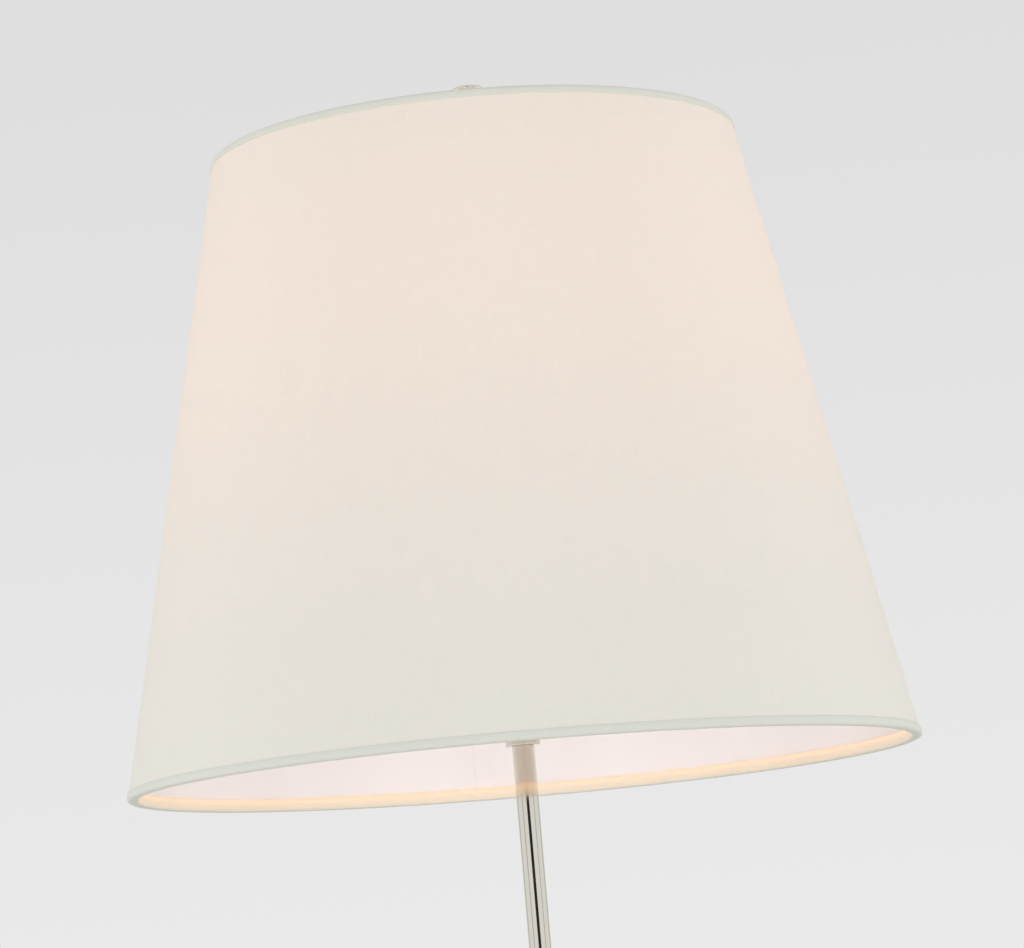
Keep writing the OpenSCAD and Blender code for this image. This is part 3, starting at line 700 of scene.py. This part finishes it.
makeTube("inner_rod", "stem", 1.2)
makeTube("outer_tube", "base", 1.2)

ringLowZ, ringTopZ = boxMm("check_ring")[0].z, boxMm("check_ring")[1].z
ringReach = reachMm("check_ring")
ringOutline = [(4.0, ringLowZ), (ringReach - 0.6, ringLowZ), (ringReach, ringLowZ + 0.6),
               (ringReach, ringTopZ - 0.6), (ringReach - 0.6, ringTopZ), (4.0, ringTopZ)]
finishPiece(turned(ringOutline, 72, soften=0.2), "turned_check_ring", "stem", nickel,
            ["check_ring"])

neckShape = {"bore": 4.0, "barrel": 6.35, "flange": 8.55, "flangeHeight": 3, "bead": 1.0, "beads": (14, -16)}


def makeNeck(settings):
    low, high = boxMm("neck")
    barrel, flange, tall = settings["barrel"], settings["flange"], settings["flangeHeight"]
    points = [(settings["bore"], low.z), (flange, low.z), (flange, low.z + tall), (barrel, low.z + tall)]
    for place in settings["beads"]:
        foot = (low.z if place > 0 else high.z) + place
        points += [(barrel, foot)]
        points += [(barrel + settings["bead"] * math.sin(a), foot + 1.2 - 1.2 * math.cos(a))
                   for a in (math.radians(20 * k) for k in range(1, 9))]
        points += [(barrel, foot + 2.4)]
    points += [(barrel, high.z - tall), (flange, high.z - tall), (flange, high.z), (settings["bore"], high.z)]
    return turned(points, 72, soften=0.3, sharp=50)


finishPiece(makeNeck(neckShape), "turned_neck", "stem", nickel, ["neck"])

# harp

saddle = {"bore": 4.0, "prong": 1.8, "prongHeight": 14}


def makeSaddle(settings):
    low, high = boxMm("harp_saddle")
    top = high.z - settings["prongHeight"]
    half = (high.y - low.y) / 2
    foot = high.x - half
    bm = bmesh.new()
    outline = []
    for side in (1, -1):
        for k in range(17):
            a = math.radians(-90 + 180 * k / 16)
            place = Vector((side * (foot + half * math.cos(a)), side * half * math.sin(a), low.z))
            outline.append(bm.verts.new(place * mm))
    face = bm.faces.new(outline)
    raised = bmesh.ops.extrude_face_region(bm, geom=[face])
    lifted = [v for v in raised["geom"] if isinstance(v, bmesh.types.BMVert)]
    bmesh.ops.translate(bm, vec=(0, 0, (top - low.z) * mm), verts=lifted)
    bmesh.ops.recalc_face_normals(bm, faces=bm.faces)
    rims = [e for e in bm.edges if e.calc_face_angle(0) > math.radians(60)]
    bmesh.ops.bevel(bm, geom=rims, offset=0.3 * mm, offset_type="OFFSET", affect="EDGES", segments=3,
                    profile=0.5, material=-1, clamp_overlap=True)
    bm = combined(bm, barAlong((0, 0, low.z - 2), (0, 0, top + 2), settings["bore"]))
    prongs = [barAlong((side * foot, 0, top - 0.5), (side * foot, 0, high.z), settings["prong"], 24, 0.4)
              for side in (1, -1)]
    return joined([bm] + prongs)


finishPiece(makeSaddle(saddle), "stamped_saddle", "stem", brass, ["harp_saddle"])
saddleTop = boxMm("harp_saddle")[1].z - saddle["prongHeight"]

bow = {"wire": 1.8, "feet": 30, "half": 59, "legHeight": 18, "turn": 45, "firstBend": 25, "crownTurn": 35,
       "crownSide": 95, "bossHeight": 8.6, "boss": 5, "bore": 2.07}


def bowPath(settings):
    # one side of the bow from its foot to the middle of its crown
    feet, half, turn = settings["feet"], settings["half"], math.radians(settings["turn"])
    bends = (half - feet) / (1 - math.cos(turn))
    first, second = settings["firstBend"], bends - settings["firstBend"]
    foot = saddleTop + saddle["prongHeight"]
    knee = foot + settings["legHeight"]
    middleX, middleZ = feet + first * (1 - math.cos(turn)), knee + first * math.sin(turn)
    side, lean = settings["crownSide"], math.radians(settings["crownTurn"])
    top = (half - side * (1 - math.cos(lean))) / math.cos(lean)
    wireZ = boxMm("harp_bow")[1].z - settings["bossHeight"] / 2
    crownZ = wireZ - side * math.sin(lean) - top * (1 - math.sin(lean))
    path = [(feet, 0, foot), (feet, 0, foot + 4)]
    path += arcPath(feet + first, knee, first, 180, 180 - settings["turn"], 8)
    path += arcPath(middleX - second * math.cos(turn), middleZ + second * math.sin(turn), second,
                    -settings["turn"], 0, 16)[1:]
    path += arcPath(half - side, crownZ, side, 0, settings["crownTurn"], 14)
    path += arcPath(0, wireZ - top, top, settings["crownTurn"], 90, 14)[1:]
    return path


def makeBow(settings):
    half = bowPath(settings)
    path = half + [(-x, y, z) for x, y, z in reversed(half[:-1])]
    high = boxMm("harp_bow")[1].z
    boss = turned([(0, high - settings["bossHeight"]), (settings["boss"], high - settings["bossHeight"]),
                   (settings["boss"], high), (0, high)], 48, closed=False, soften=0.4)
    bm = combined(swept(path, settings["wire"], 24), boss, "UNION")
    bore = barAlong((0, 0, high - settings["bossHeight"] - 2), (0, 0, high + 2), settings["bore"])
    return combined(bm, bore)


finishPiece(makeBow(bow), "bent_harp", "stem", brass, ["harp_bow"])

for side in ("left", "right"):
    node = "ferrule_" + side
    low, high = boxMm(node)
    middle = (low.x + high.x) / 2
    bm = turned([(1.87, low.z), (3.4, low.z), (3.4, low.z + 2), (3.15, low.z + 2.5), (3.15, high.z - 2.5),
                 (3.4, high.z - 2), (3.4, high.z), (1.87, high.z)], 40, soften=0.2)
    finishPiece(placed(bm, Matrix.Translation((middle * mm, 0, 0))), "spun_" + node, side + "_ferrule",
                brass, [node])
print("harp made")

# lampholder and bulb

holder = {
    "neck": 8, "bore": 4.0, "bell": 12, "height": 19, "wall": 0.8, "shell": 18, "shellWall": 0.6, "lip": 1,
    "keyHole": 4.2,
}
capLow = boxMm("socket_cap")[0].z
shellLow, shellHigh = boxMm("socket_shell")[0].z, boxMm("socket_shell")[1].z
keyZ = (boxMm("switch_shaft")[0].z + boxMm("switch_shaft")[1].z) / 2


def makeCap(settings):
    # the bell between the neck and the skirt is a smooth ogee
    outer = settings["shell"] + 0.05 + settings["wall"]
    neck, bellLow, bellHigh = settings["neck"], capLow + 5, capLow + settings["bell"]
    rise = [i / 8 for i in range(9)]
    outside = [(neck + (outer - neck) * (1 - math.cos(math.pi * s)) / 2, bellLow + (bellHigh - bellLow) * s)
               for s in rise]
    inside = [(r - settings["wall"], z + settings["wall"] * (1 - s) + 0.3)
              for (r, z), s in zip(outside, rise)]
    points = [(settings["bore"], capLow), (neck, capLow)] + outside
    points += [(outer, capLow + settings["height"]), (outer - settings["wall"], capLow + settings["height"])]
    points += list(reversed(inside)) + [(settings["bore"], inside[0][1])]
    bm = turned(points, 72, soften=0.15, sharp=50)
    return combined(bm, barAlong((5, 0, capLow + 2.5), (12, 0, capLow + 2.5), 1.55, 24))


finishPiece(makeCap(holder), "spun_socket_cap", "stem", brass, ["socket_cap"])


def makeShell(settings):
    outer, wall, lip = settings["shell"], settings["shellWall"], settings["lip"]
    points = [(outer - wall, shellLow), (outer, shellLow), (outer, shellHigh), (outer - wall - lip, shellHigh),
              (outer - wall - lip, shellHigh - wall), (outer - wall, shellHigh - wall)]
    bm = turned(points, 96, soften=0.2)
    return combined(bm, barAlong((0, -5, keyZ), (0, -30, keyZ), settings["keyHole"]))


finishPiece(makeShell(holder), "spun_socket_shell", "stem", brass, ["socket_shell"])

shaftLow, shaftHigh = boxMm("switch_shaft")
finishPiece(barAlong((0, shaftHigh.y, keyZ), (0, shaftLow.y, keyZ), 2, 32, 0.3), "turned_switch_shaft",
            "switch", zinc, ["switch_shaft"])

key = {"hub": 3.6, "hubLength": 3, "thick": 3.6}


def makeKey(settings):
    low, high = boxMm("switch_key")
    paddle = (high.z - low.z) / 2
    half = settings["thick"] / 2
    hub = barAlong((0, high.y, keyZ), (0, high.y - settings["hubLength"] - 1, keyZ), settings["hub"], 40, 0.5)
    disc = barAlong((-half, low.y + paddle, keyZ), (half, low.y + paddle, keyZ), paddle, 64, 1.0)
    bore = barAlong((0, high.y + 2, keyZ), (0, shaftLow.y, keyZ), 2, 32)
    return combined(combined(hub, disc, "UNION"), bore)


finishPiece(makeKey(key), "moulded_key", "switch", bakelite, ["switch_key"])

bulb = {"neck": 13, "glass": 1.0}


def bulbProfile(globe, neck):
    # the globe, then an S-curve down to the cap
    points = [(neck, bulbLow.z), (neck, bulbLow.z + 3)]
    leave = -38
    cosine, sine = math.cos(math.radians(leave)), math.sin(math.radians(leave))
    slope = Vector((-sine, cosine))
    foot = Vector((neck, bulbLow.z + 3))
    head = Vector((globe * cosine, bulbCentre.z + globe * sine))
    reach = (head - foot).length * 0.42
    handles = (foot, foot + Vector((0, reach)), head - slope * reach, head)
    for i in range(1, 16):
        s = i / 15
        pulls = ((1 - s) ** 3, 3 * s * (1 - s) ** 2, 3 * s * s * (1 - s), s ** 3)
        p = sum((handle * pull for handle, pull in zip(handles, pulls)), Vector((0, 0)))
        points.append((p.x, p.y))
    points += [(max(0, globe * math.cos(math.radians(a))), bulbCentre.z + globe * math.sin(math.radians(a)))
               for a in (leave + (90 - leave) * i / 28 for i in range(1, 29))]
    return points


outerGlass = bulbProfile(bulbRadius, bulb["neck"])
innerGlass = bulbProfile(bulbRadius - bulb["glass"], bulb["neck"] - bulb["glass"])
glassPiece = finishPiece(turned(outerGlass + innerGlass[::-1], 96), "blown_bulb", "stem",
                         frosted, ["bulb_glass"], weighted=False)
glassPiece.visible_shadow = False


def makeBulbCap():
    low, high = boxMm("bulb_cap")
    count = 60
    outside = []
    for i in range(count + 1):
        share = i / count
        ridge = 0.3 * (1 - math.cos(math.tau * 5 * share / 0.86)) if share < 0.86 else 0.45
        outside.append((12.4 + ridge, low.z + (high.z - low.z) * share))
    return turned([(12, low.z)] + outside + [(12, high.z)], 72)


finishPiece(makeBulbCap(), "rolled_bulb_cap", "stem", aluminium, ["bulb_cap"],
            smoothAngle=45)
print("lampholder and bulb made")

# clamp

clamp = {"radius": 11, "edge": 1, "tube": 8.05, "guide": 6.42, "boss": 5, "bossReach": 14, "screw": 2.57}
clampLow, clampHigh = boxMm("clamp_collar")
tubeTop = boxMm("outer_tube")[1].z
screwAt = boxMm("thumbscrew")
screwZ = (screwAt[0].z + screwAt[1].z) / 2


def makeClamp(settings):
    outer, edge = settings["radius"], settings["edge"]
    points = [(settings["tube"], clampLow.z), (outer - edge, clampLow.z), (outer, clampLow.z + edge),
              (outer, clampHigh.z - edge), (outer - edge, clampHigh.z), (settings["guide"], clampHigh.z),
              (settings["guide"], tubeTop), (settings["tube"], tubeTop)]
    body = turned(points, 96, soften=0.3)
    # the boss starts inside the collar's wall and is bored through for the screw
    boss = barAlong((8.3, 0, screwZ), (settings["bossReach"], 0, screwZ), settings["boss"], 64, 0.5)
    bore = barAlong((0, 0, screwZ), (20, 0, screwZ), settings["screw"], 48)
    return combined(combined(body, boss, "UNION"), bore)


finishPiece(makeClamp(clamp), "turned_clamp_collar", "base", nickel, ["clamp_collar"])

screwLow, screwHigh = screwAt
screwNeck = 1.7


def makeScrew():
    length = screwHigh.x - screwLow.x
    neckFoot = length - screwNeck
    points = [(0, 0), (2.5, 0), (2.5, neckFoot), (4.1, neckFoot), (4.1, length), (0, length)]
    bm = turned(points, 48, closed=False, soften=0.25)
    return placed(bm, alongMatrix((1, 0, 0), (screwLow.x, 0, screwZ)))


finishPiece(makeScrew(), "turned_thumbscrew", "screw", nickel, ["thumbscrew"])

knob = {"flutes": 24, "flute": 0.8, "edge": 1.0, "steps": 12}


def makeKnob(settings):
    # a disc with rounded flutes cut along its rim
    low, high = boxMm("thumbscrew_knob")
    radius, thick = (high.z - low.z) / 2, high.x - low.x
    centre = radius + settings["flute"] / 2
    count = settings["flutes"] * settings["steps"]
    layers = [(0.0, settings["edge"] + 2.2), (0.0, settings["edge"]), (0.3, 0.3), (settings["edge"], 0.0)]
    rows = [(z, cut) for z, cut in layers] + [(thick - z, cut) for z, cut in reversed(layers)]
    bm = bmesh.new()
    rings = []
    for z, cut in rows:
        ring = []
        for k in range(count):
            angle = math.tau * k / count
            off = (k % settings["steps"]) / settings["steps"]
            off = min(off, 1 - off) * math.tau / settings["flutes"]
            reach = radius
            inside = settings["flute"] ** 2 - (centre * math.sin(off)) ** 2
            if inside > 0:
                reach = min(radius, centre * math.cos(off) - math.sqrt(inside))
            reach = min(reach, radius - cut)
            ring.append(bm.verts.new((reach * math.cos(angle) * mm, reach * math.sin(angle) * mm, z * mm)))
        rings.append(ring)
    for first, second in zip(rings, rings[1:]):
        for k in range(count):
            bm.faces.new((first[k], first[(k + 1) % count], second[(k + 1) % count], second[k]))
    bm.faces.new(rings[0][::-1])
    bm.faces.new(rings[-1])
    return placed(bm, alongMatrix((1, 0, 0), (low.x, 0, screwZ)))


finishPiece(makeKnob(knob), "fluted_knob", "screw", nickel, ["thumbscrew_knob"])

# base

cover = {"wall": 1.5, "round": 4.5, "bore": 4.85, "steps": 256, "bushing": 4.25}
coverLow, coverHigh = boxMm("base_cover")
baseRadius = coverHigh.x
bushLow, bushHigh = boxMm("cord_bushing")
bushZ = (bushLow.z + bushHigh.z) / 2


def makeCover(settings):
    wall, bend = settings["wall"], settings["round"]

    def quarter(radius, steps=12):
        angles = [math.radians(90 * i / steps) for i in range(steps + 1)]
        return [(baseRadius - bend + radius * math.cos(a), coverHigh.z - bend + radius * math.sin(a))
                for a in angles]

    flat = [baseRadius * share for share in (0.9, 0.6, 0.3)]
    points = [(baseRadius - wall, coverLow.z), (baseRadius, coverLow.z)] + quarter(bend)
    points += [(r, coverHigh.z) for r in flat]
    points += [(settings["bore"], coverHigh.z), (settings["bore"], coverHigh.z - wall)]
    points += [(r, coverHigh.z - wall) for r in reversed(flat)] + quarter(bend - wall)[::-1]
    bm = turned(points, settings["steps"], soften=0.2, sharp=60)
    hole = barAlong((0, baseRadius - 8, bushZ), (0, baseRadius + 3, bushZ), settings["bushing"])
    return combined(bm, hole)


finishPiece(makeCover(cover), "spun_base_cover", "base", nickel, ["base_cover"])

collar = {"foot": 19, "top": 11, "lip": 3, "cove": 6, "tube": 8.05, "bore": 4.85, "seat": 2}


def makeCollar(settings):
    low, high = boxMm("base_collar")
    foot, top, lip = settings["foot"], settings["top"], settings["lip"]
    points = [(settings["bore"], low.z), (foot, low.z), (foot, low.z + lip)]
    points += [(foot - 1 - (foot - 1 - top) * math.sin(math.radians(7.5 * i)),
                low.z + lip + settings["cove"] * (1 - math.cos(math.radians(7.5 * i)))) for i in range(13)]
    points += [(top, high.z), (settings["tube"], high.z), (settings["tube"], low.z + settings["seat"]),
               (settings["bore"], low.z + settings["seat"])]
    return turned(points, 96, soften=0.3, sharp=40)


finishPiece(makeCollar(collar), "turned_base_collar", "base", nickel, ["base_collar"])

bushing = {"bore": 3.2, "barrel": 4.2, "flange": 5.5, "flangeThick": 1.5}


def makeBushing(settings):
    length = bushHigh.y - bushLow.y
    rim = length - settings["flangeThick"]
    bore, barrel, flange = settings["bore"], settings["barrel"], settings["flange"]
    points = [(bore, 0), (barrel, 0), (barrel, rim), (flange, rim), (flange, length), (bore, length)]
    return placed(turned(points, 48, soften=0.35), alongMatrix((0, 1, 0), (0, bushLow.y, bushZ)))


finishPiece(makeBushing(bushing), "moulded_bushing", "base", rubber, ["cord_bushing"])

feltLow, feltHigh = boxMm("felt_pad")
bm = turned([(0, feltLow.z), (feltHigh.x * 0.5, feltLow.z), (feltHigh.x, feltLow.z), (feltHigh.x, feltHigh.z),
             (feltHigh.x * 0.5, feltHigh.z), (0, feltHigh.z)], 128, closed=False, soften=0.5)
feltPiece = finishPiece(bm, "cut_felt_pad", "base", felt, ["felt_pad"])
print("clamp and base made")

# what stays as modelled, with its finish

keptFinishes = [
    (castIron, ["base_weight"]),
    (brass, ["base_nipple", "pole_foot_plug", "friction_shoe", "rod_top_insert", "neck_nipple", "lock_nut",
             "screw_shell", "centre_contact"]),
    (zinc, ["base_washer", "base_nut", "cap_set_screw", "terminal_screws", "filament_mount"]),
    (nylon, ["guide_bush", "rod_foot_bush"]),
    (fishPaper, ["insulating_sleeve"]),
    (bakelite, ["socket_body"]),
    (blackGlass, ["bulb_insulator"]),
    (aluminium, ["bulb_contact"]),
]
for material, names in keptFinishes:
    for name in names:
        nodes[name].data.materials.clear()
        nodes[name].data.materials.append(material)

# the lit bulb: one lamp for the room inside the shade, one that reaches the linen through its liner, one
# for the warm inside of the lower hem; and a soft box that looks up through the mouth at the liner

lamps = {
    "insidePower": 0.9, "insideColour": "#FFCBA8", "throughPower": 0.95, "throughColour": "#FF8B40",
    "hemPower": 1.2, "hemColour": "#FFC67A", "radius": 0.028,
}


def bulbLamp(name, power, colour):
    data = bpy.data.lights.new(name, "POINT")
    data.energy = power
    data.shadow_soft_size = lamps["radius"]
    data.color = linearColour(colour)[:3]
    light = bpy.data.objects.new(name, data)
    bpy.context.scene.collection.objects.link(light)
    light.location = bulbCentre * mm
    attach(light, "stem")
    return light


def group(name, pieces):
    chosen = bpy.data.collections.new(name)
    for piece in pieces:
        chosen.objects.link(piece)
    return chosen


bulbLamp("bulbLight", lamps["insidePower"], lamps["insideColour"])
throughLight = bulbLamp("bulbThroughLinen", lamps["throughPower"], lamps["throughColour"])
throughLight.light_linking.receiver_collection = group("litThrough", (linenPiece, lowerHem, upperHem))
throughLight.light_linking.blocker_collection = group("blocksLittle", (glassPiece,))
hemLight = bulbLamp("bulbOnHem", lamps["hemPower"], lamps["hemColour"])
hemLight.light_linking.receiver_collection = group("litHem", (lowerHem,))

farWall = (0, 0.2, lowerZ * mm + 0.06)
mouthFill = makeSoftBox("mouthFill", room["fillPower"], room["fillSize"], room["fillPlace"], farWall)
mouthFill.data.color = linearColour(room["fillColour"])[:3]
mouthFill.light_linking.receiver_collection = group("litLiner", (linerPiece,))
